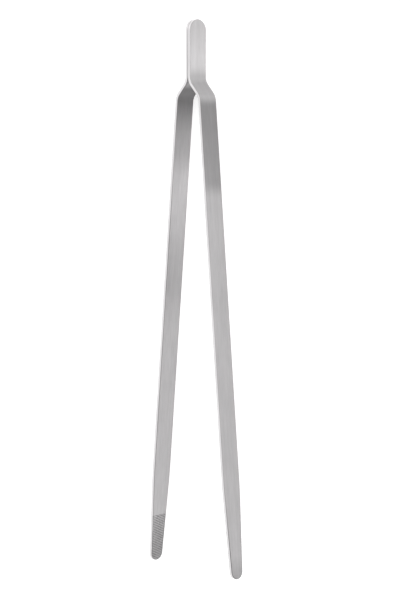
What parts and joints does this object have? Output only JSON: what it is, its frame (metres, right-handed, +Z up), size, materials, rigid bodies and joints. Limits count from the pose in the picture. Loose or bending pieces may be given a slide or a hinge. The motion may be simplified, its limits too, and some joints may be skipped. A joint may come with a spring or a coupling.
{
  "type": "laboratory tongs",
  "caption": "Long one-hand spring tongs in tweezer form: two steel strips joined back to back at a rounded head, with stepped shoulders, spreading arms and serrated round tips.",
  "frame": {"origin": "on the surface the tongs lie on, below the middle of their length and of their spread", "axes": "+X along the tongs towards the joined head, +Y across the opening towards the arm on the right of a user who holds the head and looks at the tips, +Z up across the width of the blades"},
  "size_m": [0.3, 0.0654, 0.012],
  "materials": {
    "blade_steel": "satin stainless steel, brushed along the blades",
    "weld_steel": "fused stainless steel, hidden between the strips"
  },
  "bodies": {
    "head": {"left_heel": "blade_steel", "right_heel": "blade_steel", "head_spot_welds": "weld_steel"},
    "left_arm": {"left_arm": "blade_steel"},
    "right_arm": {"right_arm": "blade_steel"}
  },
  "joints": [
    {"name": "left_arm_flex", "type": "hinge", "parent": "head", "child": "left_arm", "pos_m": [0.06324, -0.01169, 0.006], "axis": [0, 0, -1], "range_deg": [-2, 8.25], "stiffness_Nm_per_rad": 11.5},
    {"name": "right_arm_flex", "type": "hinge", "parent": "head", "child": "right_arm", "pos_m": [0.06324, 0.01169, 0.006], "axis": [0, 0, 1], "range_deg": [-2, 8.25], "stiffness_Nm_per_rad": 11.5}
  ]
}
